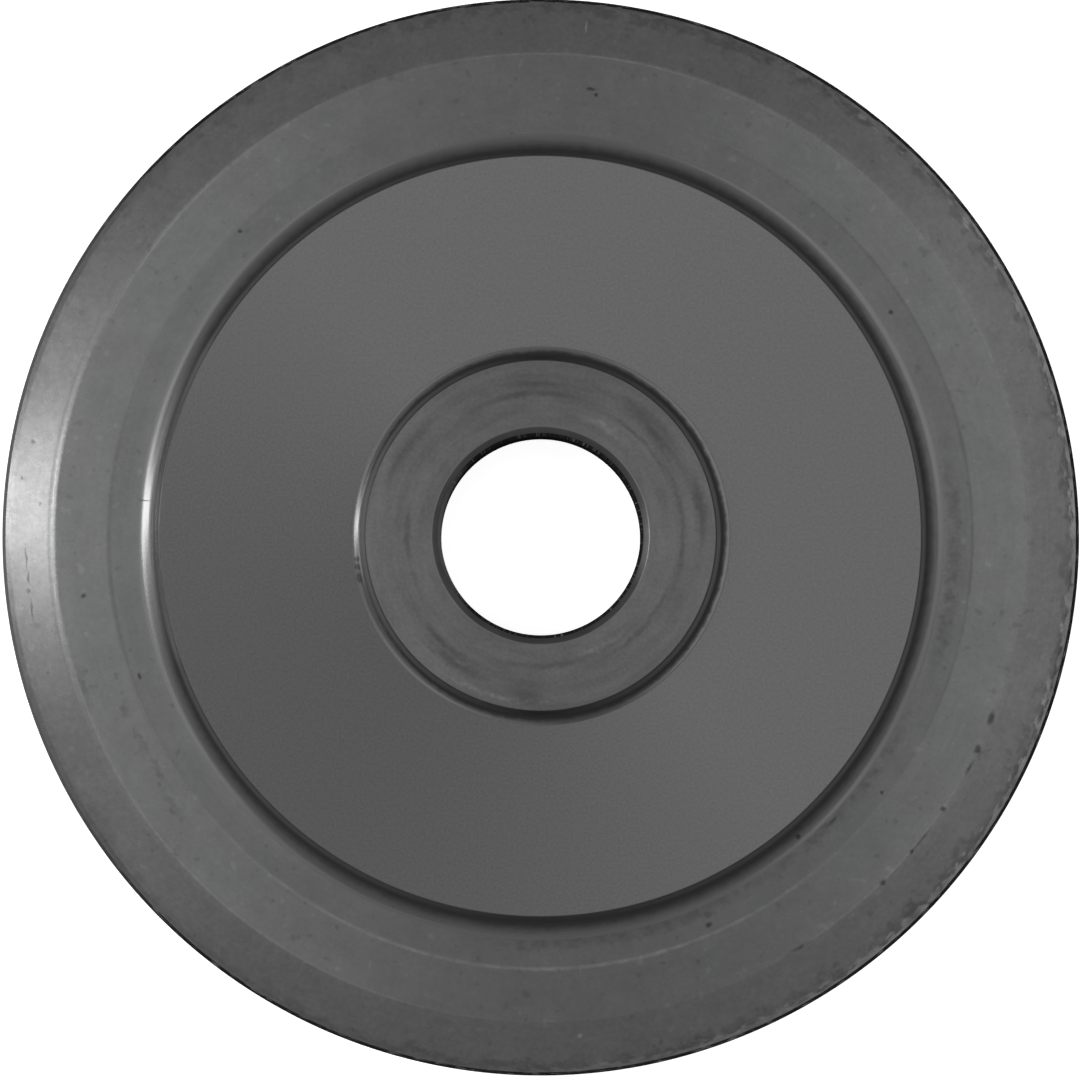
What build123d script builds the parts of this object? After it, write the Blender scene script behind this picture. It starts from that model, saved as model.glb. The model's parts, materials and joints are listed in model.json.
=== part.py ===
from build123d import *

import os
from math import radians, tan

# A cutter wheel for pipe and tube, turned and ground from one piece of tool
# steel, and the same front and back. Its frame has its origin on the bore's
# axis, in the plane of the cutting edge, and +Z leaves through the front face.
# The wheel lies flat on its back hub face.

# Driving dimensions: lengths in millimetres, angles in degrees
cutting_diameter = 65.0     # over the cutting edge
tip_land = 0.1              # flat left on the cutting edge, across the wheel
honed_width = 0.5           # of the narrow bevel at the cutting edge, along the radius
honed_angle = 48.0          # between its two sides
bevel_width = 2.7           # of the main bevel, along the radius
bevel_angle = 34.0          # between its two sides
outer_web_width = 3.2       # from the bevel to the ring where the web turns flatter
outer_web_slope = 5.0
inner_web_width = 3.05      # from that ring to the body
inner_web_slope = 2.0
body_width = 6.0            # between the two flat faces of the body
shoulder_root_radius = 1.3
hub_stand = 1.0             # how far each hub face stands out of the body
hub_root_radius = 0.7
hub_ring_width = 4.6        # from the bore to the hub's outside, along the radius
bore_diameter = 12.0        # runs on the pin of the wheel's holder
bore_chamfer = 0.55
wall_lean = 5.0             # of the shoulder and the hub's side, off the wheel's axis

# Radii of the rings where the turned section changes, from the edge inwards
cutting_radius = cutting_diameter / 2
honed_radius = cutting_radius - honed_width
bevel_radius = honed_radius - bevel_width
web_ring_radius = bevel_radius - outer_web_width
body_radius = web_ring_radius - inner_web_width
bore_radius = bore_diameter / 2
hub_radius = bore_radius + hub_ring_width

# Heights of those rings over the plane of the cutting edge, built up inwards
tip_height = tip_land / 2
honed_height = tip_height + honed_width * tan(radians(honed_angle / 2))
bevel_height = honed_height + bevel_width * tan(radians(bevel_angle / 2))
web_ring_height = bevel_height + outer_web_width * tan(radians(outer_web_slope))
web_height = web_ring_height + inner_web_width * tan(radians(inner_web_slope))
body_height = body_width / 2
hub_height = body_height + hub_stand

# The two leaning walls end here, at their foot
shoulder_foot_radius = body_radius + (body_height - web_height) * tan(radians(wall_lean))
shoulder_foot_height = web_height - (shoulder_foot_radius - body_radius) * tan(radians(inner_web_slope))
hub_foot_radius = hub_radius + hub_stand * tan(radians(wall_lean))

# A root radius leaves some of its wall standing
wall_share = 0.95
hub_root = min(hub_root_radius, wall_share * hub_stand)
shoulder_root = min(shoulder_root_radius, wall_share * (body_height - web_height))


def flank(side):
    """Corners of one side of the section, from the bore out to the tip."""
    corners = [
        (bore_radius, hub_height),
        (hub_radius, hub_height),
        (hub_foot_radius, body_height),
        (body_radius, body_height),
        (shoulder_foot_radius, shoulder_foot_height),
        (web_ring_radius, web_ring_height),
        (bevel_radius, bevel_height),
        (honed_radius, honed_height),
        (cutting_radius, tip_height),
    ]
    return [(radius, side * height) for radius, height in corners]


def corners_at(section, radius, height):
    """The two corners of the section at this radius and height, front and back."""
    places = [Vector(radius, 0, height), Vector(radius, 0, -height)]
    return [v for v in section.vertices() if min((Vector(v) - place).length for place in places) < 1e-6]


def turned_section():
    """Half of the wheel's cross-section, right of its axis, with its corners finished."""
    section = Plane.XZ * make_face(Polyline(*flank(1), *reversed(flank(-1)), close=True))
    section = chamfer(corners_at(section, bore_radius, hub_height), bore_chamfer)
    section = fillet(corners_at(section, hub_foot_radius, body_height), hub_root)
    section = fillet(corners_at(section, shoulder_foot_radius, shoulder_foot_height), shoulder_root)
    return section


def cutter_wheel():
    return revolve(turned_section(), Axis.Z)


os.makedirs("parts", exist_ok=True)
export_step(cutter_wheel(), "parts/cutter_wheel.step")
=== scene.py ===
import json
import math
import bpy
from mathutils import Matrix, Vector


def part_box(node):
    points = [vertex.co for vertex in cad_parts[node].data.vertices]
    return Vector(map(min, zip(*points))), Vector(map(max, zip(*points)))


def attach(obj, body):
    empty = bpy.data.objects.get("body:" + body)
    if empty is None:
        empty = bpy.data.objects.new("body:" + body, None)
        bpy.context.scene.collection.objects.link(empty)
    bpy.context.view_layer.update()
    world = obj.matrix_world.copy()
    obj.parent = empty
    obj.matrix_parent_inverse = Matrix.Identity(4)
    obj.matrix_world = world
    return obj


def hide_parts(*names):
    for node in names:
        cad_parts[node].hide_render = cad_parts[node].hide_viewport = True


bl_info = {
    "name": "Pipe cutter wheel",
    "version": (1, 0, 0),
    "blender": (4, 5, 0),
    "location": "3D View > Sidebar > Cutter Wheel",
    "description": "Builds the visual model of a turned and ground cutter wheel, and its studio",
    "category": "Object",
}

from collections import namedtuple

import bpy
import numpy as np
from bpy.props import FloatProperty, FloatVectorProperty, IntProperty, PointerProperty
from mathutils import Vector

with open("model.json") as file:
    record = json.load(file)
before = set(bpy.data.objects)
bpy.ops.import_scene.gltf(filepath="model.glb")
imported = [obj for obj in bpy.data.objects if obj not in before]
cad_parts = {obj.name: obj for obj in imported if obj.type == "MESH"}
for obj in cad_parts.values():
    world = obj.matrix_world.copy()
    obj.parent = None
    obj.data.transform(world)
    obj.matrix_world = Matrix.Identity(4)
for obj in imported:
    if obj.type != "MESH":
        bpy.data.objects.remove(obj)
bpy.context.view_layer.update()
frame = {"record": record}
wheel_low, wheel_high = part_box("cutter_wheel")

MM = 0.001
DEGREE = math.radians(1)


def hex_to_linear(code):
    """Linear RGB of an sRGB hex colour."""
    channels = [int(code[i:i + 2], 16) / 255 for i in (1, 3, 5)]
    return [c / 12.92 if c <= 0.04045 else ((c + 0.055) / 1.055) ** 2.4 for c in channels]


def bore_radius_of_record():
    """The bore's radius, as its mount states it."""
    bore = next(mount for mount in frame["record"]["mounts"] if mount["name"] == "bore")
    return bore["dims"]["r_mm"] * MM


# Sizes and colours that a user would change


def length(name, description, millimetres):
    """A size that is stated in millimetres and kept in metres."""
    default = millimetres * MM
    return FloatProperty(name=name, description=description, default=default, unit="LENGTH", precision=5)


def angle(name, description, degrees):
    """An angle that is stated in degrees and kept in radians."""
    return FloatProperty(name=name, description=description, default=degrees * DEGREE, subtype="ANGLE")


def colour(name, description, code):
    """A colour that is stated as sRGB hex and kept linear."""
    default = hex_to_linear(code)
    return FloatVectorProperty(name=name, description=description, default=default, subtype="COLOR")


def pixels(name, count):
    """A place or size in the picture."""
    return FloatProperty(name=name, description="In pixels of the picture", default=count, subtype="PIXEL")


def number(name, description, default, unit="NONE"):
    """A plain number."""
    return FloatProperty(name=name, description=description, default=default, unit=unit)


class WheelSize(bpy.types.PropertyGroup):
    """The turned section, the same front and back."""

    cutting_radius: length("Cutting radius", "From the axis to the cutting edge", wheel_high.x / MM)
    tip_land: length("Tip land", "Flat left on the cutting edge, across the wheel", 0.1)
    honed_width: length("Honed width", "Of the narrow bevel at the cutting edge", 0.5)
    # The dark line along the cutting edge is painted shade
    dark_edge_width: length("Scale width", "Of the dark line of scale that is left along the cutting edge", 0.2)
    honed_angle: angle("Honed angle", "Between the two honed bevels", 48)
    bevel_width: length("Bevel width", "Of the main bevel, along the radius", 2.7)
    bevel_angle: angle("Bevel angle", "Between the two main bevels", 34)
    outer_web_width: length("Outer web", "From the bevel to the ring where the web turns flatter", 3.2)
    outer_web_slope: angle("Outer web slope", "Off the wheel's plane", 5)
    inner_web_width: length("Inner web", "From that ring to the body", 3.12)
    inner_web_slope: angle("Inner web slope", "Off the wheel's plane", 2)
    body_height: length("Body height", "From the cutting edge's plane to the body's face", 3.0)
    shoulder_root: length("Shoulder root", "Radius between the body's side and the web", 1.3)
    hub_height: length("Hub height", "From the cutting edge's plane to the hub's face", wheel_high.z / MM)
    hub_root: length("Hub root", "Radius between the hub's side and the body's face", 0.75)
    hub_ring: length("Hub ring", "Width of the hub's face and bore mouth", 4.6)
    bore_radius: length("Bore radius", "Of the running bore", bore_radius_of_record() / MM)
    bore_chamfer: length("Bore chamfer", "At both mouths of the bore", 0.55)
    bore_lip: length("Bore lip", "Dark part of the chamfer, next to the bore", 0.2)
    hub_lean: angle("Hub lean", "Of the hub's side, off the axis", 15)
    body_lean: angle("Body lean", "Of the body's side, off the axis", 14)
    edge_break: length("Edge break", "Rounding that is left on each turned outer corner", 0.1)
    bevel_blend: length("Bevel blend", "Rounding at the web's ring and where each bevel begins", 0.9)
    segments: IntProperty(name="Segments", description="Steps round the wheel", default=600, min=90)


class WheelFinish(bpy.types.PropertyGroup):
    """Colours of the hardened steel, as each way of machining left it."""

    blasted: colour("Blasted face", "Fine, even grey of the body's face", "#6e6e6e")
    rubbed: colour("Rubbed hub", "Hub face, rubbed by the holder's cheeks", "#656565")
    stained: colour("Hub stains", "Dark rings and patches where the hub rubbed", "#505050")
    ground: colour("Ground web", "Web and bevel, ground round the axis", "#6a6a6a")
    # Faint green tint, put on the web towards both ends of the X axis, where it is brightest
    cool: colour("Cool tint", "Faint green patches that grinding heat left on the web", "#696b6a")
    # Duller patches, and painted shade next to the roots and on tool rings
    patch_and_shade: colour("Patches", "Duller patches of the web, the bevel and the roots", "#595959")
    # Worn: bright wear, and also painted light on tool rings and a painted glint on the bevel's inner edge
    worn: colour("Worn rim", "Bright patches where the rim met hard pipe, and other rubbed places", "#979797")
    turned: colour("Turned root", "Root radii and side walls, as turned", "#696969")
    # Grime: oily dust in the pits, and painted shade in the roots of the walls
    grime_and_shade: colour("Grime", "Oily dust in the roots and the pits", "#383838")
    # Painted light: the colour of the side walls where they face the lamps
    bare: colour("Clean walls", "Side walls where the oil was wiped off", "#b0b0b0")
    chamfer: colour("Chamfer", "Turned mouth of the bore", "#6a6a6a")
    # Scale: near black, painted shade in the bore and along the cutting edge
    scale: colour("Scale", "Hardening scale in the bore and along the cutting edge", "#202020")


class Studio(bpy.types.PropertyGroup):
    """Floor, light and camera."""

    floor: colour("Floor", "Plain pale floor", "#f4f4f4")
    floor_glow: number("Floor glow", "Added where the camera or the steel sees the floor", 0.8)
    ceiling: number("Ceiling", "Radiance of the studio overhead", 0.53)
    wall: number("Wall", "Radiance of the studio near the horizon", 0.35)
    lens: number("Lens", "Focal length", 1200, "CAMERA")
    camera_tilt: angle("Camera tilt", "Off the wheel's axis, towards -Y", 1.5)
    wheel_radius_px: pixels("Wheel radius", 538.4)
    wheel_x_px: pixels("Wheel centre X", 540.7)
    wheel_y_px: pixels("Wheel centre Y", 537.2)


# Shape of the wheel

FINISHES = ("bore", "chamfer", "hub", "root", "face", "web", "bevel", "edge")

# A corner of the section: its place, its rounding, the finish of the rounding and
# of the stretch that follows it, and how many rings that stretch is cut into
Corner = namedtuple("Corner", "radius height rounding turn finish rings")

# A spot on the front: angle from +X in degrees, radius, half its size along the rim and across it
Spot = namedtuple("Spot", "angle radius along across")

# The azimuth, in degrees, at which the wheel is cut open to be rolled out: it lies between the spots
SEAM = 120

# Pits in the web, along its border with the bevel and in the bevel, hairlines in both, and nicks in the roots
WEB_PITS = (
    Spot(-36.9, 25.72 * MM, 0.11 * MM, 0.10 * MM),
    Spot(-66.6, 25.55 * MM, 0.20 * MM, 0.13 * MM),
    Spot(83.6, 27.19 * MM, 0.26 * MM, 0.09 * MM),
    Spot(82.9, 26.87 * MM, 0.10 * MM, 0.10 * MM),
    Spot(32.6, 25.10 * MM, 0.14 * MM, 0.11 * MM),
    Spot(134.6, 25.86 * MM, 0.13 * MM, 0.12 * MM),
    Spot(187.4, 27.84 * MM, 0.12 * MM, 0.17 * MM),
    Spot(199.2, 25.63 * MM, 0.20 * MM, 0.10 * MM),
)
BORDER_PITS = (
    Spot(-21.9, 29.28 * MM, 0.36 * MM, 0.19 * MM),
    Spot(-26.0, 29.30 * MM, 0.24 * MM, 0.17 * MM),
    Spot(-34.1, 29.30 * MM, 0.14 * MM, 0.15 * MM),
    Spot(-40.3, 29.34 * MM, 0.16 * MM, 0.12 * MM),
    Spot(-45.3, 29.33 * MM, 0.20 * MM, 0.13 * MM),
)
HAIRLINES = (
    Spot(-28.3, 29.38 * MM, 0.45 * MM, 0.10 * MM),
    Spot(-38.6, 29.35 * MM, 0.80 * MM, 0.08 * MM),
    Spot(-44.2, 24.58 * MM, 0.45 * MM, 0.09 * MM),
    Spot(-58.0, 29.28 * MM, 0.60 * MM, 0.09 * MM),
)
BEVEL_PITS = (
    Spot(169.4, 31.14 * MM, 0.11 * MM, 0.12 * MM),
    Spot(173.5, 31.50 * MM, 0.10 * MM, 0.08 * MM),
    Spot(176.2, 30.30 * MM, 0.12 * MM, 0.07 * MM),
    Spot(182.4, 31.08 * MM, 0.55 * MM, 0.05 * MM),
    Spot(184.6, 31.00 * MM, 0.30 * MM, 0.06 * MM),
    Spot(186.1, 31.08 * MM, 0.12 * MM, 0.10 * MM),
    Spot(188.2, 31.02 * MM, 0.50 * MM, 0.05 * MM),
)
ROOT_NICKS = (
    Spot(174.8, 24.00 * MM, 0.03 * MM, 0.36 * MM),
    Spot(-49.4, 23.85 * MM, 0.15 * MM, 0.14 * MM),
    Spot(187.2, 11.17 * MM, 0.16 * MM, 0.14 * MM),
    Spot(189.6, 11.20 * MM, 0.20 * MM, 0.16 * MM),
    Spot(193.0, 11.22 * MM, 0.35 * MM, 0.14 * MM),
)

# Duller patches of the web, the three from -4 to -78 degrees next to the body's root being painted shade,
# and thin rings that the tools left in web and bevel, painted darker or lighter as they catch the light
PATCHES_AND_SHADE = (
    Spot(-4, 24.95 * MM, 7.0 * MM, 0.45 * MM),
    Spot(-40, 24.50 * MM, 7.0 * MM, 0.45 * MM),
    Spot(-78, 24.45 * MM, 9.0 * MM, 0.50 * MM),
    Spot(216.5, 27.55 * MM, 0.8 * MM, 0.30 * MM),
    Spot(211.5, 27.05 * MM, 0.9 * MM, 0.22 * MM),
    Spot(207.0, 27.15 * MM, 0.9 * MM, 0.16 * MM),
    Spot(202.5, 27.05 * MM, 0.5 * MM, 0.35 * MM),
    Spot(198.5, 29.10 * MM, 1.2 * MM, 0.25 * MM),
)
SHADED_RINGS = (
    Spot(186, 26.09 * MM, 10 * MM, 0.12 * MM),
    Spot(14, 26.07 * MM, 17 * MM, 0.11 * MM),
)
LIT_RINGS = (
    Spot(272, 26.09 * MM, 18 * MM, 0.10 * MM),
    Spot(82, 29.24 * MM, 9.5 * MM, 0.10 * MM),
    Spot(142, 29.24 * MM, 6 * MM, 0.10 * MM),
)
SHADED_BEVEL_RINGS = (
    Spot(177, 29.70 * MM, 9 * MM, 0.08 * MM),
)

# Scratches in the bevel, rubbed bright, and a painted glint along a stretch of its inner edge
SCRATCHES = (
    Spot(84.9, 30.90 * MM, 0.05 * MM, 0.30 * MM),
    Spot(274.5, 30.20 * MM, 0.12 * MM, 0.12 * MM),
)
BEVEL_EDGE_GLINT = (
    Spot(177, 29.50 * MM, 8 * MM, 0.04 * MM),
)

# Dirt and painted shade on stretches of the hub's foot and of the shoulder's root
HUB_FOOT_SHADE = (
    Spot(181, 11.26 * MM, 7 * MM, 0.18 * MM),
    Spot(286, 11.20 * MM, 3.4 * MM, 0.25 * MM),
)
ROOT_SHADE = (
    Spot(238, 24.25 * MM, 8 * MM, 0.30 * MM),
    Spot(342, 24.15 * MM, 7 * MM, 0.30 * MM),
)

# Stains of the hub's face: dark patches, one thin dark ring that isn't quite round, and a few pale blotches
STAINS = (
    Spot(84, 9.30 * MM, 3.8 * MM, 0.50 * MM),
    Spot(45, 9.40 * MM, 3.0 * MM, 0.50 * MM),
    Spot(265, 9.40 * MM, 0.9 * MM, 0.75 * MM),
    Spot(235, 9.30 * MM, 2.2 * MM, 0.30 * MM),
    Spot(150, 9.60 * MM, 2.2 * MM, 0.40 * MM),
    Spot(10, 9.80 * MM, 1.8 * MM, 0.30 * MM),
)
STAIN_RING = (
    Spot(88, 8.57 * MM, 3.6 * MM, 0.18 * MM),
    Spot(45, 8.35 * MM, 2.8 * MM, 0.13 * MM),
    Spot(3, 8.60 * MM, 3.4 * MM, 0.16 * MM),
    Spot(-42, 8.30 * MM, 3.0 * MM, 0.13 * MM),
    Spot(-82, 7.88 * MM, 2.8 * MM, 0.18 * MM),
    Spot(226, 8.72 * MM, 2.6 * MM, 0.18 * MM),
    Spot(182, 8.05 * MM, 3.4 * MM, 0.16 * MM),
)
BLOTCHES = (
    Spot(60, 7.60 * MM, 1.6 * MM, 0.22 * MM),
    Spot(255, 10.10 * MM, 3.0 * MM, 0.12 * MM),
    Spot(300, 7.60 * MM, 1.5 * MM, 0.18 * MM),
)


def section_corners(size):
    """Corners of the section's front half, from the middle of the bore to the middle of the cutting edge."""
    honed_radius = size.cutting_radius - size.honed_width
    bevel_radius = honed_radius - size.bevel_width
    web_ring_radius = bevel_radius - size.outer_web_width
    body_radius = web_ring_radius - size.inner_web_width
    hub_radius = size.bore_radius + size.hub_ring

    dark_edge_radius = size.cutting_radius - size.dark_edge_width
    tip_height = size.tip_land / 2
    honed_height = tip_height + size.honed_width * math.tan(size.honed_angle / 2)
    dark_edge_height = tip_height + size.dark_edge_width * math.tan(size.honed_angle / 2)
    bevel_height = honed_height + size.bevel_width * math.tan(size.bevel_angle / 2)
    web_ring_height = bevel_height + size.outer_web_width * math.tan(size.outer_web_slope)
    web_height = web_ring_height + size.inner_web_width * math.tan(size.inner_web_slope)

    hub_foot = hub_radius + (size.hub_height - size.body_height) * math.tan(size.hub_lean)
    shoulder_foot = body_radius + (size.body_height - web_height) * math.tan(size.body_lean)
    shoulder_foot_height = web_height - (shoulder_foot - body_radius) * math.tan(size.inner_web_slope)

    # The bore's lip has the finish of the cutting edge: near black painted shade with bare flecks
    mouth_height = size.hub_height - size.bore_chamfer
    return [
        Corner(size.bore_radius, 0, 0, "bore", "bore", 2),
        Corner(size.bore_radius, mouth_height, 0, "edge", "edge", 1),
        Corner(size.bore_radius + size.bore_lip, mouth_height + size.bore_lip, 0, "chamfer", "chamfer", 1),
        Corner(size.bore_radius + size.bore_chamfer, size.hub_height, size.edge_break, "chamfer", "hub", 3),
        Corner(hub_radius, size.hub_height, size.edge_break, "root", "root", 1),
        Corner(hub_foot, size.body_height, size.hub_root, "root", "face", 2),
        Corner(body_radius, size.body_height, size.edge_break, "root", "root", 1),
        Corner(shoulder_foot, shoulder_foot_height, size.shoulder_root, "root", "web", 2),
        Corner(web_ring_radius, web_ring_height, size.bevel_blend, "web", "web", 3),
        Corner(bevel_radius, bevel_height, size.bevel_blend, "bevel", "bevel", 6),
        Corner(honed_radius, honed_height, size.bevel_blend, "bevel", "bevel", 2),
        Corner(dark_edge_radius, dark_edge_height, 0, "edge", "edge", 1),
        Corner(size.cutting_radius, tip_height, size.tip_land / 3, "edge", "edge", 1),
        Corner(size.cutting_radius, 0, 0, "edge", "edge", 0),
    ]


def rounded_corner(before, corner, after):
    """Points of the arc that rounds a corner, in finer steps where it is large, or the corner itself."""
    large = 0.2 * MM
    nearly_straight = math.pi - 0.01
    step = (6 if corner.rounding > large else 12) * DEGREE
    here = Vector((corner.radius, corner.height))
    to_before = (Vector((before.radius, before.height)) - here).normalized()
    to_after = (Vector((after.radius, after.height)) - here).normalized()
    opening = to_before.angle(to_after)
    if corner.rounding == 0 or opening > nearly_straight:
        return [here]
    reach = corner.rounding / math.tan(opening / 2)
    centre = here + (to_before + to_after).normalized() * corner.rounding / math.sin(opening / 2)
    start = here + to_before * reach - centre
    end = here + to_after * reach - centre
    turn = start.angle_signed(end)
    count = max(2, math.ceil(abs(turn) / step))
    points = []
    for i in range(count + 1):
        share = i / count
        c, s = math.cos(-turn * share), math.sin(-turn * share)
        points.append(centre + Vector((start.x * c - start.y * s, start.x * s + start.y * c)))
    return points


def front_section(size):
    """Radii and heights of the front half's rings, and the finish of each stretch between them."""
    corners = section_corners(size)
    points, finishes = [], []
    for i, corner in enumerate(corners):
        if i in (0, len(corners) - 1):
            arc = [Vector((corner.radius, corner.height))]
        else:
            arc = rounded_corner(corners[i - 1], corner, corners[i + 1])
        if points:
            before = corners[i - 1]
            between = [points[-1].lerp(arc[0], step / before.rings) for step in range(1, before.rings)]
            finishes += [before.finish] * (len(between) + 1)
            points += between
        points += arc
        finishes += [corner.turn] * (len(arc) - 1)
    return np.array([(p.x, p.y) for p in points]), finishes


def smooth_series(random, count, waves, roughness):
    """A closed series of count values with a spread of 1, made of waves round the wheel."""
    steps = np.arange(count) * 2 * math.pi / count
    series = np.zeros(count)
    for wave in range(1, waves):
        series += wave ** -roughness * np.cos(wave * steps + random.uniform(0, 2 * math.pi))
    return series / series.std()


def stand_out(radius, turn, size, random):
    """How far each point of one side stands out of the plain section, rings by segments."""
    honed_radius = size.cutting_radius - size.honed_width
    worn_width = 0.25 * MM
    worn_depth = 0.003 * MM
    near_edge = np.exp(-((radius[:, None] - honed_radius) / worn_width) ** 2)
    worn = np.clip(smooth_series(random, len(turn), waves=120, roughness=0.5), -2, 2)
    return worn_depth * near_edge * worn[None, :]


def side_of_wheel(size, section, side, seed):
    """Vertex places of one side's rings, as an array of rings by segments by three."""
    random = np.random.default_rng(seed)
    turn = np.arange(size.segments) * 2 * math.pi / size.segments
    radius, height = section[:, 0], section[:, 1]
    tangent = np.gradient(section, axis=0)
    tangent /= np.linalg.norm(tangent, axis=1)[:, None]
    out = stand_out(radius, turn, size, random)
    out[0] = 0
    out[-1] = 0
    r = np.minimum(radius[:, None] - tangent[:, 1:] * out, size.cutting_radius)
    z = height[:, None] + tangent[:, :1] * out
    return np.stack([r * np.cos(turn), r * np.sin(turn), side * z], axis=2)


def lathe_mesh(size):
    """The whole wheel as one closed mesh, with a UV map of two flat rings side by side, front and back."""
    section, finishes = front_section(size)
    rings, segments = len(section), size.segments
    front = side_of_wheel(size, section, side=1, seed=7)
    back = side_of_wheel(size, section, side=-1, seed=11)
    places = np.concatenate([front, back[-2:0:-1]]).reshape(-1, 3)
    loop = 2 * (rings - 1)
    step_finish = finishes + finishes[::-1]

    along = np.concatenate([[0], np.cumsum(np.linalg.norm(np.diff(section, axis=0), axis=1))])
    hole = 2 * MM
    map_radius = 0.245
    uv_scale = map_radius / (hole + along[-1])

    faces, uvs, slots = [], [], []
    for i in range(loop):
        on_front = i < rings - 1
        inner = along[i] if on_front else along[loop - i]
        outer = along[i + 1] if on_front else along[loop - i - 1]
        middle = 0.25 if on_front else 0.75
        here, there = i * segments, (i + 1) % loop * segments
        for j in range(segments):
            k = (j + 1) % segments
            faces.append((here + j, there + j, there + k, here + k))
            for distance, step in ((inner, j), (outer, j), (outer, j + 1), (inner, j + 1)):
                a = step * 2 * math.pi / segments * (1 if on_front else -1)
                reach = (hole + distance) * uv_scale
                uvs += (middle + reach * math.cos(a), 0.5 + reach * math.sin(a))
            slots.append(FINISHES.index(step_finish[i]))

    mesh = bpy.data.meshes.new("cutter_wheel_finished")
    mesh.from_pydata(places.tolist(), [], faces)
    mesh.uv_layers.new(name="OFBake").data.foreach_set("uv", uvs)
    mesh.polygons.foreach_set("material_index", slots)
    mesh.polygons.foreach_set("use_smooth", [True] * len(faces))
    mesh.update()
    return mesh


# Materials

# Where a shaded point lies, as node outputs
Where = namedtuple("Where", "place heading radius")

# A wall with painted shade and oily dust in its root: its radius, how far out the shade is thick and where it
# ends, the azimuth at which it ends further out and by how much, how much painted light the wall gets at both
# ends of the X axis, and, at the lamp side's azimuth, how much painted shade is left and how much painted
# light the wall gets
Wall = namedtuple("Wall", "radius start end wide_azimuth wider bare wiped_dust wiped_bare")

# The lamp side, where walls get painted light and less painted shade: azimuth in degrees, and the cosine of
# the angle away from it where that ends
LAMP_SIDE_AZIMUTH = 174
LAMP_SIDE_START = 0.9

# Painted light and shade of the bevel round the wheel: azimuth in degrees, shade there, and the
# cosine of the angle away from it where that shade ends
BEVEL_PAINTED_LIGHT = (
    (128, 1.09, 0.9),
    (180, 0.94, 0.97),
    (235, 1.05, 0.7),
    (308, 1.08, 0.9),
    (345, 0.94, 0.95),
)


def add(tree, kind, inputs=None, **settings):
    """Adds a node with its settings, and fills its inputs with values or with other nodes' outputs."""
    node = tree.nodes.new(kind)
    for name, value in settings.items():
        setattr(node, name, value)
    for name, value in (inputs or {}).items():
        if isinstance(value, bpy.types.NodeSocket):
            tree.links.new(value, node.inputs[name])
        else:
            node.inputs[name].default_value = value
    return node


def new_steel(name, tint, roughness, anisotropy):
    """A steel with its shader's plain settings. Ground and turned steel spread light across their marks."""
    material = bpy.data.materials.new(name)
    material.use_nodes = True
    tree = material.node_tree
    shader = tree.nodes["Principled BSDF"]
    shader.inputs["Base Color"].default_value = (*tint, 1)
    shader.inputs["Metallic"].default_value = 1
    shader.inputs["Roughness"].default_value = roughness
    if anisotropy:
        shader.inputs["Anisotropic"].default_value = anisotropy
        shader.inputs["Anisotropic Rotation"].default_value = 0.25
        tangent = add(tree, "ShaderNodeTangent", direction_type="RADIAL", axis="Z")
        tree.links.new(tangent.outputs["Tangent"], shader.inputs["Tangent"])
    material.diffuse_color = (*tint, 1)
    return material, tree, shader


def wheel_coordinates(tree):
    """Object coordinates, the direction away from the axis, and the distance from it, in metres."""
    place = add(tree, "ShaderNodeTexCoord").outputs["Object"]
    flat = add(tree, "ShaderNodeVectorMath", {0: place, 1: (1, 1, 0)}, operation="MULTIPLY").outputs["Vector"]
    heading = add(tree, "ShaderNodeVectorMath", {0: flat}, operation="NORMALIZE").outputs["Vector"]
    radius = add(tree, "ShaderNodeVectorMath", {0: flat}, operation="LENGTH").outputs["Value"]
    return Where(place, heading, radius)


def cloud(tree, where, cell, low, high, start=0.3, end=0.7):
    """Irregular patches about one cell wide, as a value from low to high."""
    inputs = {"Vector": where.place, "Scale": 1 / cell, "Detail": 2, "Roughness": 0.6}
    patches = add(tree, "ShaderNodeTexNoise", inputs).outputs["Fac"]
    inputs = {"Value": patches, "From Min": start, "From Max": end, "To Min": low, "To Max": high}
    return add(tree, "ShaderNodeMapRange", inputs).outputs["Result"]


def streaks(tree, where, turn, pitch, low, high, start=0.3, end=0.7):
    """Marks round the axis, about a turn in degrees long and a pitch apart, as a value from low to high."""
    # Height counts as radius does, so that the marks go on down a wall
    height = add(tree, "ShaderNodeSeparateXYZ", {0: where.place}).outputs["Z"]
    down = add(tree, "ShaderNodeMath", {0: where.radius, 1: height}, operation="SUBTRACT").outputs[0]
    ring = add(tree, "ShaderNodeMath", {0: down, 1: 1 / pitch}, operation="MULTIPLY").outputs[0]
    ring = add(tree, "ShaderNodeCombineXYZ", {"Z": ring}).outputs[0]
    spread = (1 / (turn * DEGREE),) * 3
    inputs = {0: where.heading, 1: spread, 2: ring}
    marks = add(tree, "ShaderNodeVectorMath", inputs, operation="MULTIPLY_ADD").outputs["Vector"]
    inputs = {"Vector": marks, "Scale": 1, "Detail": 2, "Roughness": 0.6}
    marks = add(tree, "ShaderNodeTexNoise", inputs).outputs["Fac"]
    inputs = {"Value": marks, "From Min": start, "From Max": end, "To Min": low, "To Max": high}
    return add(tree, "ShaderNodeMapRange", inputs).outputs["Result"]


def facing(tree, where, azimuth, low, high, start=0.0):
    """From low to high towards an azimuth in degrees, beginning at a cosine: 0 is at right angles to it."""
    towards = (math.cos(azimuth * DEGREE), math.sin(azimuth * DEGREE), 0)
    agrees = add(tree, "ShaderNodeVectorMath", {0: where.heading, 1: towards}, operation="DOT_PRODUCT")
    inputs = {"Value": agrees.outputs["Value"], "From Min": start, "To Min": low, "To Max": high}
    return add(tree, "ShaderNodeMapRange", inputs).outputs["Result"]


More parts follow.
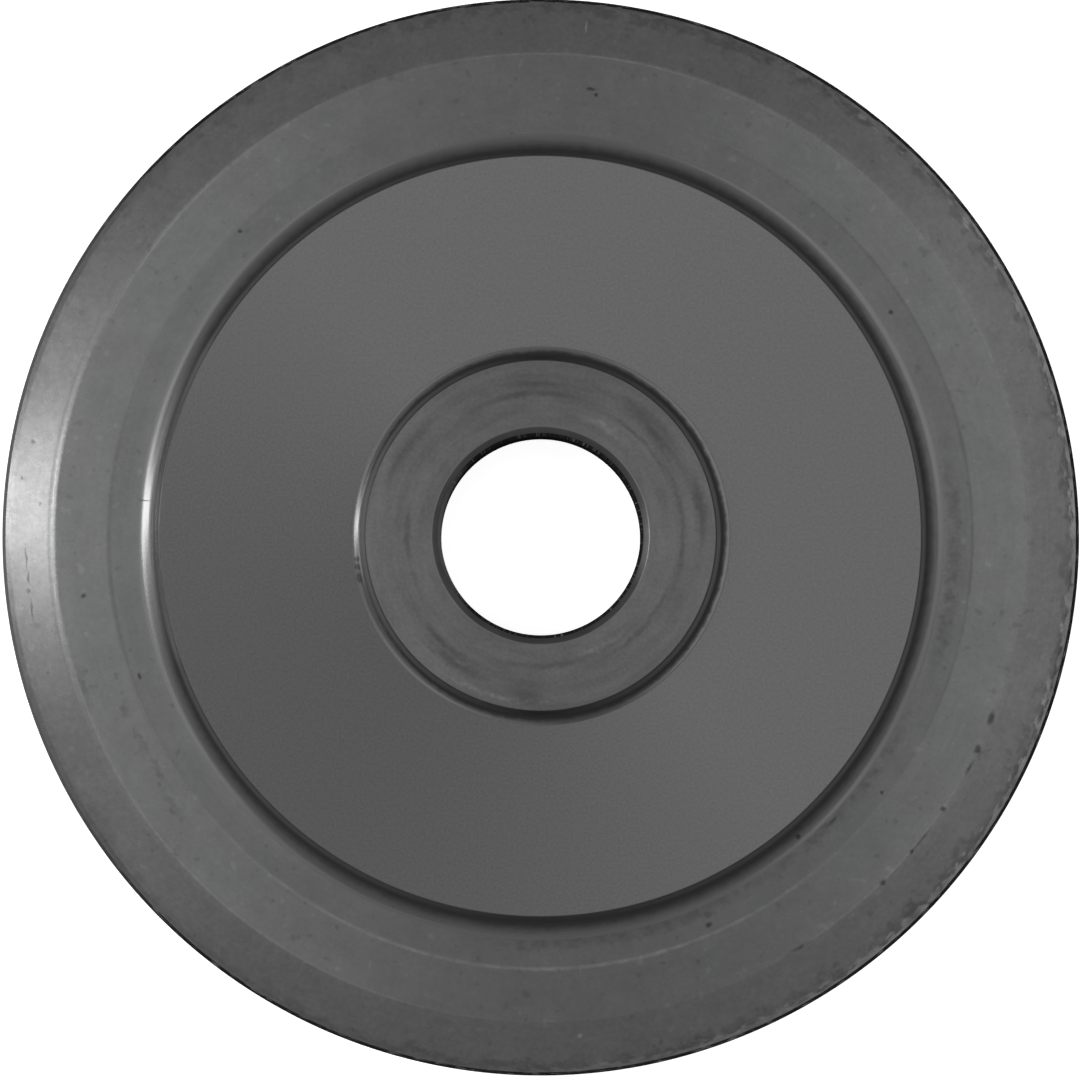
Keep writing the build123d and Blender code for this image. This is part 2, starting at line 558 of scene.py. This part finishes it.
def specks(tree, where, cell, dark, light):
    """1, but darker in small specks and lighter in small flecks, about a cell apart."""
    inputs = {"Vector": where.place, "Scale": 1 / cell, "Detail": 1, "Roughness": 0.6}
    grains = add(tree, "ShaderNodeTexNoise", inputs).outputs["Fac"]
    inputs = {"Value": grains, "From Min": 0.66, "From Max": 0.76, "To Min": 1, "To Max": dark}
    dots = add(tree, "ShaderNodeMapRange", inputs).outputs["Result"]
    inputs = {"Value": grains, "From Min": 0.33, "From Max": 0.23, "To Min": 1, "To Max": light}
    flecks = add(tree, "ShaderNodeMapRange", inputs).outputs["Result"]
    return product(tree, dots, flecks)


def ragged_ramp(tree, where, ragged, start, end, low, high):
    """From low to high as the radius goes from start to end, on a border that a length pushes about."""
    reach = add(tree, "ShaderNodeMath", {0: where.radius, 1: ragged}, operation="ADD").outputs[0]
    inputs = {"Value": reach, "From Min": start, "From Max": end, "To Min": low, "To Max": high}
    return add(tree, "ShaderNodeMapRange", inputs, interpolation_type="SMOOTHSTEP").outputs["Result"]


def product(tree, *factors):
    """Several values multiplied together."""
    result = factors[0]
    for factor in factors[1:]:
        result = add(tree, "ShaderNodeMath", {0: result, 1: factor}, operation="MULTIPLY").outputs[0]
    return result


def unrolled(tree, where):
    """The wheel rolled out: X is the angle from opposite SEAM, Y the radius, Z is 0 in front and 1 behind."""
    angles = []
    for turn in (SEAM + 180, SEAM + 270):
        towards = (math.cos(turn * DEGREE), math.sin(turn * DEGREE), 0)
        inputs = {0: where.heading, 1: towards}
        angles.append(add(tree, "ShaderNodeVectorMath", inputs, operation="DOT_PRODUCT").outputs["Value"])
    inputs = {0: angles[1], 1: angles[0]}
    turn = add(tree, "ShaderNodeMath", inputs, operation="ARCTAN2").outputs[0]
    height = add(tree, "ShaderNodeSeparateXYZ", {0: where.place}).outputs["Z"]
    behind = add(tree, "ShaderNodeMath", {0: height, 1: 0.0}, operation="LESS_THAN").outputs[0]
    return add(tree, "ShaderNodeCombineXYZ", {"X": turn, "Y": where.radius, "Z": behind}).outputs[0]


def spots(tree, place, marks, softness):
    """1 inside the given spots of the front, 0 outside them, with soft borders."""
    mask = 0.0
    for spot in marks:
        turn = (spot.angle - SEAM) % 360 - 180
        # The small size along Z keeps every spot off the back
        inputs = {
            "Vector": place,
            "Location": (turn * DEGREE, spot.radius, 0),
            "Scale": (spot.along / spot.radius, spot.across, 0.1),
        }
        inside = add(tree, "ShaderNodeMapping", inputs, vector_type="TEXTURE").outputs["Vector"]
        distance = add(tree, "ShaderNodeVectorMath", {0: inside}, operation="LENGTH").outputs["Value"]
        inputs = {"Value": distance, "From Min": 1 - softness, "From Max": 1 + softness}
        inputs.update({"To Min": 1, "To Max": 0})
        inside = add(tree, "ShaderNodeMapRange", inputs, interpolation_type="SMOOTHSTEP").outputs["Result"]
        mask = add(tree, "ShaderNodeMath", {0: inside, 1: mask}, operation="MAXIMUM").outputs[0]
    return mask


def spotted_layers(tree, where, marks):
    """Layers for paint() from marks: a colour, its spots, how ragged and soft they are, and how strong."""
    # At about this radius a length along the rim is turned into an angle
    spot_radius = 25 * MM
    inputs = {"Vector": where.place, "Scale": 1 / (0.4 * MM), "Detail": 1}
    inputs = {0: add(tree, "ShaderNodeTexNoise", inputs).outputs["Color"], 1: (0.5, 0.5, 0.5)}
    warp = add(tree, "ShaderNodeVectorMath", inputs, operation="SUBTRACT").outputs["Vector"]
    rolled = unrolled(tree, where)
    layers = []
    for tint, group, ragged, softness, strength in marks:
        inputs = {0: warp, 1: (ragged / spot_radius, ragged, 0), 2: rolled}
        place = add(tree, "ShaderNodeVectorMath", inputs, operation="MULTIPLY_ADD").outputs["Vector"]
        layers.append((tint, spots(tree, place, group, softness), strength))
    return layers


def paint(tree, shader, ground, shades=(), layers=()):
    """Gives a shader a colour under layers, each a colour and its masks, and multiplies it by each shade."""
    inputs = {0: tuple(ground), "Scale": 1}
    tint = add(tree, "ShaderNodeVectorMath", inputs, operation="SCALE").outputs["Vector"]
    for layer, *masks in layers:
        inputs = {"Factor": product(tree, *masks), 6: tint, 7: (*layer, 1)}
        tint = add(tree, "ShaderNodeMix", inputs, data_type="RGBA").outputs[2]
    if shades:
        inputs = {0: tint, "Scale": product(tree, *shades)}
        tint = add(tree, "ShaderNodeVectorMath", inputs, operation="SCALE").outputs["Vector"]
    tree.links.new(tint, shader.inputs["Base Color"])


def blasted_steel(finish):
    """Hardened tool steel, fine blasted: an even grey with painted shade towards one side, its grain visible
    close up.
    """
    material, tree, shader = new_steel("blasted_tool_steel", finish.blasted, 0.42, 0)
    where = wheel_coordinates(tree)
    grain = cloud(tree, where, 0.13 * MM, 0, 1)
    # Painted shade towards azimuth 221
    shades = [cloud(tree, where, 0.15 * MM, 0.90, 1.10), facing(tree, where, azimuth=221, low=1, high=0.70)]
    paint(tree, shader, finish.blasted, shades)
    relief = add(tree, "ShaderNodeBump", {"Height": grain, "Strength": 1, "Distance": 0.003 * MM})
    tree.links.new(relief.outputs["Normal"], shader.inputs["Normal"])
    return material


def rubbed_steel(finish):
    """Turned hub face, burnished by the holder: a soft grain with faint rings and a few dark stains."""
    material, tree, shader = new_steel("rubbed_hub_steel", finish.rubbed, 0.36, 0.3)
    where = wheel_coordinates(tree)
    stains = [
        (finish.stained, STAINS, 0.7 * MM, 0.75, streaks(tree, where, 25, 0.5 * MM, 0.2, 0.9)),
        (finish.stained, STAIN_RING, 0.3 * MM, 0.8, cloud(tree, where, 1.5 * MM, 0.3, 0.9)),
        (finish.worn, BLOTCHES, 0.5 * MM, 0.7, cloud(tree, where, 0.6 * MM, 0, 0.35)),
    ]
    shades = [
        cloud(tree, where, 0.22 * MM, 0.92, 1.08),
        cloud(tree, where, 2.5 * MM, 0.94, 1.06),
        streaks(tree, where, 30, 0.6 * MM, 0.90, 1.10),
    ]
    paint(tree, shader, finish.rubbed, shades, spotted_layers(tree, where, stains))
    grain = cloud(tree, where, 0.2 * MM, 0, 1)
    relief = add(tree, "ShaderNodeBump", {"Height": grain, "Strength": 1, "Distance": 0.003 * MM})
    tree.links.new(relief.outputs["Normal"], shader.inputs["Normal"])
    return material


def ground_steel(name, finish, mottle):
    """Steel ground round the axis and handled since: fine rings under a cloudy, speckled grey.

    Returns the shades too, to which the web and the bevel add their own.
    """
    material, tree, shader = new_steel(name, finish.ground, 0.27, 0.3)
    where = wheel_coordinates(tree)
    shades = [
        cloud(tree, where, 0.35 * MM, 1 - mottle, 1 + mottle),
        cloud(tree, where, 2.2 * MM, 0.95, 1.05),
        streaks(tree, where, 20, 0.35 * MM, 0.98, 1.02),
        specks(tree, where, 0.7 * MM, 0.80, 1.2),
    ]
    tree.links.new(cloud(tree, where, 0.9 * MM, 0.26, 0.28), shader.inputs["Roughness"])
    rings = streaks(tree, where, 20, 0.3 * MM, 0, 1)
    relief = add(tree, "ShaderNodeBump", {"Height": rings, "Strength": 1, "Distance": 0.001 * MM})
    tree.links.new(relief.outputs["Normal"], shader.inputs["Normal"])
    return material, tree, shader, where, shades


def web_steel(finish):
    """The web, with pits that hold grime, a faint green tint towards both ends of the X axis, and painted
    light and shade.
    """
    material, tree, shader, where, shades = ground_steel("ground_web_steel", finish, 0.05)
    marks = [
        # Duller patches, and painted shade next to the body's root
        (finish.patch_and_shade, PATCHES_AND_SHADE, 0.9 * MM, 0.6, cloud(tree, where, 0.6 * MM, 0.1, 1)),
        # Painted shade and painted light on the tool rings
        (finish.patch_and_shade, SHADED_RINGS, 0.08 * MM, 0.9, cloud(tree, where, 2 * MM, 0.3, 0.7)),
        (finish.worn, LIT_RINGS, 0.08 * MM, 0.9, cloud(tree, where, 1 * MM, 0.15, 0.5)),
        (finish.grime_and_shade, WEB_PITS + BORDER_PITS, 0.22 * MM, 0.6, 0.8),
        (finish.grime_and_shade, HAIRLINES, 0.2 * MM, 0.9, cloud(tree, where, 0.5 * MM, 0.3, 0.8)),
    ]
    # Faint green tint towards both ends of the X axis
    bloom = cloud(tree, where, 5 * MM, 0, 1)
    layers = [(finish.cool, bloom, facing(tree, where, azimuth, 0, 1.2)) for azimuth in (0, 180)]
    layers += spotted_layers(tree, where, marks)
    # Painted shade towards azimuth 235
    shades.append(facing(tree, where, azimuth=235, low=1, high=0.94, start=0.6))
    paint(tree, shader, finish.ground, shades, layers)
    return material


def bevel_steel(finish, edge_radius):
    """The bevel, whose rim is dulled in ragged patches and rubbed bright on one side by hard pipe, with
    painted light and shade.
    """
    material, tree, shader, where, shades = ground_steel("ground_bevel_steel", finish, 0.08)
    ragged = streaks(tree, where, 1.8, 0.9 * MM, -0.7 * MM, 0.7 * MM)
    rim = ragged_ramp(tree, where, ragged, edge_radius - 1.15 * MM, edge_radius - 0.35 * MM, 0, 1)
    side = facing(tree, where, azimuth=180, low=1, high=0.3)
    dull = (finish.patch_and_shade, rim, cloud(tree, where, 6 * MM, 0.5, 1.1), side)
    ragged = streaks(tree, where, 1.5, 0.4 * MM, -0.3 * MM, 0.3 * MM)
    rim = ragged_ramp(tree, where, ragged, edge_radius - 0.6 * MM, edge_radius - 0.3 * MM, 0, 0.9)
    side = facing(tree, where, azimuth=-12, low=0.15, high=1.1)
    bright = (finish.worn, rim, cloud(tree, where, 1.3 * MM, 0.3, 1), side)
    marks = [
        # Painted shade on a tool ring
        (finish.patch_and_shade, SHADED_BEVEL_RINGS, 0.06 * MM, 0.9, cloud(tree, where, 2 * MM, 0.5, 1)),
        (finish.worn, SCRATCHES, 0.1 * MM, 0.9, 0.7),
        # Painted glint along the bevel's inner edge
        (finish.worn, BEVEL_EDGE_GLINT, 0.12 * MM, 0.9, cloud(tree, where, 0.8 * MM, 0, 0.35)),
        (finish.grime_and_shade, BORDER_PITS, 0.22 * MM, 0.6, 0.8),
        (finish.grime_and_shade, BEVEL_PITS, 0.20 * MM, 0.9, 0.7),
        (finish.grime_and_shade, HAIRLINES, 0.2 * MM, 0.9, cloud(tree, where, 0.5 * MM, 0.3, 0.8)),
    ]
    layers = [dull, bright] + spotted_layers(tree, where, marks)
    # Painted light and shade round the wheel
    shades += [facing(tree, where, azimuth, 1, shade, start) for azimuth, shade, start in BEVEL_PAINTED_LIGHT]
    paint(tree, shader, finish.ground, shades, layers)
    return material


def shade_and_dust_against(tree, where, wall, ragged):
    """How much painted shade and oily dust lie on a wall and in its root, as a value from 0 to 1; less on the
    lamp side.
    """
    side = facing(tree, where, wall.wide_azimuth, 0, 1)
    shift = product(tree, side, side, side, -wall.wider)
    border = add(tree, "ShaderNodeMath", {0: ragged, 1: shift}, operation="ADD").outputs[0]
    root = ragged_ramp(tree, where, border, wall.radius + wall.start, wall.radius + wall.end, 0.85, 0)
    edge = ragged_ramp(tree, where, 0.0, wall.radius - 0.11 * MM, wall.radius - 0.02 * MM, 0, 1)
    corner = ragged_ramp(tree, where, 0.0, wall.radius - 0.01 * MM, wall.radius + 0.03 * MM, 0.9, 0)
    shade_kept = facing(tree, where, LAMP_SIDE_AZIMUTH, 1, wall.wiped_dust, LAMP_SIDE_START)
    shade_kept = add(tree, "ShaderNodeMath", {0: corner, 1: shade_kept}, operation="MAXIMUM").outputs[0]
    return product(tree, root, edge, shade_kept)


def wall_light_layers(tree, where, wall, tint):
    """Layers for paint() of painted light on a wall, at both ends of the X axis and on the lamp side."""
    inner = ragged_ramp(tree, where, 0.0, wall.radius - 0.02 * MM, wall.radius + 0.06 * MM, 0, 1)
    outer = ragged_ramp(tree, where, 0.0, wall.radius + 0.14 * MM, wall.radius + 0.33 * MM, 1, 0)
    ring = product(tree, inner, outer)
    layers = [(tint, ring, facing(tree, where, azimuth, 0, wall.bare)) for azimuth in (0, 180)]
    if wall.wiped_bare:
        layers.append((tint, ring, facing(tree, where, LAMP_SIDE_AZIMUTH, 0, wall.wiped_bare, LAMP_SIDE_START)))
    return layers


def turned_steel(finish, hub_radius, body_radius):
    """Turned walls and root radii: painted shade and oily dust in the roots, and painted light on the walls
    towards the lamps.
    """
    material, tree, shader = new_steel("turned_root_steel", finish.turned, 0.23, 0.3)
    where = wheel_coordinates(tree)
    ragged = cloud(tree, where, 0.6 * MM, -0.06 * MM, 0.06 * MM)
    grime_and_shade = 0.0
    bare = []
    for wall in (
        Wall(hub_radius, 0.42 * MM, 0.72 * MM, 182, -0.30 * MM, bare=0.45, wiped_dust=0.9, wiped_bare=0),
        Wall(body_radius, 0.28 * MM, 1.12 * MM, 285, 0.10 * MM, bare=0.25, wiped_dust=0, wiped_bare=0.9),
    ):
        # Painted shade and oily dust in the wall's root
        dust_and_shade = shade_and_dust_against(tree, where, wall, ragged)
        grime_and_shade = add(tree, "ShaderNodeMath", {0: dust_and_shade, 1: grime_and_shade}, operation="MAXIMUM").outputs[0]
        # Painted light on the wall towards the lamps
        bare += wall_light_layers(tree, where, wall, finish.bare)
    marks = [
        # Painted shade and dirt on the hub's foot and the shoulder's root
        (finish.grime_and_shade, HUB_FOOT_SHADE, 0.1 * MM, 0.6, 0.5),
        (finish.patch_and_shade, ROOT_SHADE, 0.1 * MM, 0.8, 0.8),
        (finish.grime_and_shade, ROOT_NICKS, 0.06 * MM, 0.5, 0.9),
    ]
    shades = [streaks(tree, where, 9, 0.12 * MM, 0.95, 1.05)]
    layers = [(finish.grime_and_shade, grime_and_shade)] + bare + spotted_layers(tree, where, marks)
    paint(tree, shader, finish.turned, shades, layers)
    inputs = {"Value": grime_and_shade, "From Max": 0.8, "To Min": 0.23, "To Max": 0.6}
    rough = add(tree, "ShaderNodeMapRange", inputs).outputs["Result"]
    tree.links.new(rough, shader.inputs["Roughness"])
    return material


def chamfer_steel(finish):
    """Turned chamfer at the bore's mouth: a plain grey with the tool's fine rings."""
    material, tree, shader = new_steel("chamfer_steel", finish.chamfer, 0.36, 0.3)
    where = wheel_coordinates(tree)
    paint(tree, shader, finish.chamfer, [streaks(tree, where, 20, 0.15 * MM, 0.85, 1.15)])
    return material


def painted_dark_steel(name, finish, bare):
    """Near black and matt, as painted shade, with bare flecks where something rubbed it and a painted
    highlight towards azimuth 180.
    """
    material, tree, shader = new_steel(name, finish.scale, 0.6, 0)
    # No metal and no gloss keep it dark: painted shade
    shader.inputs["Metallic"].default_value = 0
    shader.inputs["Specular IOR Level"].default_value = 0
    where = wheel_coordinates(tree)
    flecks = streaks(tree, where, 1.5, 0.15 * MM, 0, bare, 0.55, 0.7)
    # Painted highlight towards azimuth 180, the lamp side
    rubbed = facing(tree, where, 180, 0, bare, 0.7)
    paint(tree, shader, finish.scale, layers=[(finish.ground, flecks), (finish.ground, rubbed)])
    return material


def wheel_materials(finish, size):
    """One material for each name in FINISHES, in that order."""
    bevel_radius = size.cutting_radius - size.honed_width - size.bevel_width
    body_radius = bevel_radius - size.outer_web_width - size.inner_web_width
    return [
        painted_dark_steel("dark_bore_steel", finish, 0.05),
        chamfer_steel(finish),
        rubbed_steel(finish),
        turned_steel(finish, size.bore_radius + size.hub_ring, body_radius),
        blasted_steel(finish),
        web_steel(finish),
        bevel_steel(finish, size.cutting_radius),
        painted_dark_steel("dark_edge_steel", finish, 0.8),
    ]


class CUTTERWHEEL_OT_wheel(bpy.types.Operator):
    """Builds the wheel with its turned section, wear and finishes in place of the plain solid"""

    bl_idname = "cutterwheel.wheel"
    bl_label = "Build the wheel"

    def execute(self, context):
        scene = context.scene
        wheel = bpy.data.objects.new("cutter_wheel_finished", lathe_mesh(scene.wheel_size))
        scene.collection.objects.link(wheel)
        for material in wheel_materials(scene.wheel_finish, scene.wheel_size):
            wheel.data.materials.append(material)
        shading = wheel.modifiers.new("face_weighted_shading", "WEIGHTED_NORMAL")
        shading.mode = "FACE_AREA"
        shading.keep_sharp = False
        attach(wheel, "root")
        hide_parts("cutter_wheel")
        return {"FINISHED"}


# Stage: floor, lamps, studio and camera

# A lamp: its direction seen from the wheel, its distance, its size round the axis and along the
# direction's arc, and its radiance, where 1 lights a white surface to white
Lamp = namedtuple("Lamp", "name azimuth off_axis distance width height radiance")

LAMPS = (
    Lamp("left_softbox", 180, 19, 0.50, 0.39, 0.24, 0.66),
    Lamp("right_softbox", 9, 24.5, 0.50, 0.39, 0.26, 0.66),
    Lamp("left_fill", 170, 38, 0.50, 0.22, 0.14, 1.0),
    Lamp("left_strip", 174.5, 50, 0.50, 0.050, 0.33, 10.8),
    Lamp("left_low", 175, 74, 0.50, 0.30, 0.16, 1.1),
    Lamp("right_low", 15, 60, 0.50, 0.40, 0.16, 0.4),
)


def hang_lamp(scene, lamp):
    """An area lamp that faces the wheel."""
    azimuth, off_axis = lamp.azimuth * DEGREE, lamp.off_axis * DEGREE
    place = lamp.distance * Vector(
        (math.cos(azimuth) * math.sin(off_axis), math.sin(azimuth) * math.sin(off_axis), math.cos(off_axis))
    )
    light = bpy.data.lights.new(lamp.name, "AREA")
    light.shape = "RECTANGLE"
    light.size = lamp.height
    light.size_y = lamp.width
    light.energy = lamp.radiance * math.pi * lamp.width * lamp.height
    holder = bpy.data.objects.new(lamp.name, light)
    holder.location = place
    holder.rotation_euler = (0, off_axis, azimuth)
    holder.visible_camera = False
    scene.collection.objects.link(holder)


def light_studio(scene, studio):
    """The world: a pale ceiling that turns into a darker wall all round the horizon."""
    world = bpy.data.worlds.new("studio")
    world.use_nodes = True
    tree = world.node_tree
    direction = add(tree, "ShaderNodeTexCoord").outputs["Generated"]
    height = add(tree, "ShaderNodeSeparateXYZ", {0: direction}).outputs["Z"]
    inputs = {
        "Value": height,
        "From Min": math.sin(5 * DEGREE),
        "From Max": math.sin(45 * DEGREE),
        "To Min": studio.wall,
        "To Max": studio.ceiling,
    }
    level = add(tree, "ShaderNodeMapRange", inputs, interpolation_type="SMOOTHSTEP").outputs["Result"]
    background = tree.nodes["Background"]
    background.inputs["Color"].default_value = (1, 1, 1, 1)
    tree.links.new(level, background.inputs["Strength"])
    scene.world = world


def lay_floor(scene, studio, height):
    """A matt white floor that keeps the wheel's shadow and that camera, gloss and glass see as near white."""
    material = bpy.data.materials.new("white_floor")
    material.use_nodes = True
    tree = material.node_tree
    shader = tree.nodes["Principled BSDF"]
    shader.inputs["Base Color"].default_value = (*studio.floor, 1)
    shader.inputs["Roughness"].default_value = 0.9
    shader.inputs["Specular IOR Level"].default_value = 0.1
    shader.inputs["Emission Color"].default_value = (1, 1, 1, 1)
    rays = add(tree, "ShaderNodeLightPath").outputs
    seen = rays["Is Camera Ray"]
    for ray in ("Is Glossy Ray", "Is Transmission Ray"):
        seen = add(tree, "ShaderNodeMath", {0: seen, 1: rays[ray]}, operation="MAXIMUM").outputs[0]
    tree.links.new(product(tree, seen, studio.floor_glow), shader.inputs["Emission Strength"])

    half = 3.0
    mesh = bpy.data.meshes.new("floor")
    corners = [(-half, -half, height), (half, -half, height), (half, half, height), (-half, half, height)]
    mesh.from_pydata(corners, [], [(0, 1, 2, 3)])
    floor = bpy.data.objects.new("floor", mesh)
    floor.data.materials.append(material)
    scene.collection.objects.link(floor)


def set_camera(scene, studio, wheel_radius):
    """A long lens nearly straight over the wheel, framed as the picture frames it."""
    picture_width, picture_height = 1080, 1077
    sensor = 36
    metres_per_pixel = wheel_radius / studio.wheel_radius_px
    distance = picture_width * metres_per_pixel * studio.lens / sensor
    aim = Vector(
        (
            (picture_width / 2 - studio.wheel_x_px) * metres_per_pixel,
            (studio.wheel_y_px - picture_height / 2) * metres_per_pixel,
            0,
        )
    )
    data = bpy.data.cameras.new("camera")
    data.sensor_width = sensor
    data.lens = studio.lens
    data.clip_start = distance / 10
    data.clip_end = distance * 20
    camera = bpy.data.objects.new("camera", data)
    tilt = studio.camera_tilt
    camera.location = aim + distance * Vector((0, -math.sin(tilt), math.cos(tilt)))
    camera.rotation_euler = (tilt, 0, 0)
    scene.collection.objects.link(camera)
    scene.camera = camera


class CUTTERWHEEL_OT_stage(bpy.types.Operator):
    """Adds the floor, the lamps, the studio's plain light and the camera"""

    bl_idname = "cutterwheel.stage"
    bl_label = "Set the stage"

    def execute(self, context):
        scene = context.scene
        studio = scene.wheel_studio
        lay_floor(scene, studio, wheel_low.z)
        light_studio(scene, studio)
        for lamp in LAMPS:
            hang_lamp(scene, lamp)
        set_camera(scene, studio, scene.wheel_size.cutting_radius)
        scene.view_settings.view_transform = "Standard"
        return {"FINISHED"}


class CUTTERWHEEL_PT_panel(bpy.types.Panel):
    """Lists what builds the wheel and its stage"""

    bl_idname = "CUTTERWHEEL_PT_panel"
    bl_label = "Cutter Wheel"
    bl_space_type = "VIEW_3D"
    bl_region_type = "UI"
    bl_category = "Cutter Wheel"

    def draw(self, context):
        layout = self.layout
        for operator in OPERATORS:
            layout.operator(operator.bl_idname)
        for group in (context.scene.wheel_size, context.scene.wheel_finish, context.scene.wheel_studio):
            box = layout.box()
            for name in group.bl_rna.properties.keys():
                if name not in ("rna_type", "name"):
                    box.prop(group, name)


GROUPS = {"wheel_size": WheelSize, "wheel_finish": WheelFinish, "wheel_studio": Studio}
OPERATORS = (CUTTERWHEEL_OT_wheel, CUTTERWHEEL_OT_stage)


def register():
    for cls in (*GROUPS.values(), *OPERATORS, CUTTERWHEEL_PT_panel):
        bpy.utils.register_class(cls)
    for name, group in GROUPS.items():
        setattr(bpy.types.Scene, name, PointerProperty(type=group))


def unregister():
    for name in GROUPS:
        delattr(bpy.types.Scene, name)
    for cls in reversed((*GROUPS.values(), *OPERATORS, CUTTERWHEEL_PT_panel)):
        bpy.utils.unregister_class(cls)


def main():
    register()
    bpy.ops.cutterwheel.wheel()
    bpy.ops.cutterwheel.stage()


if __name__ == "__main__":
    main()
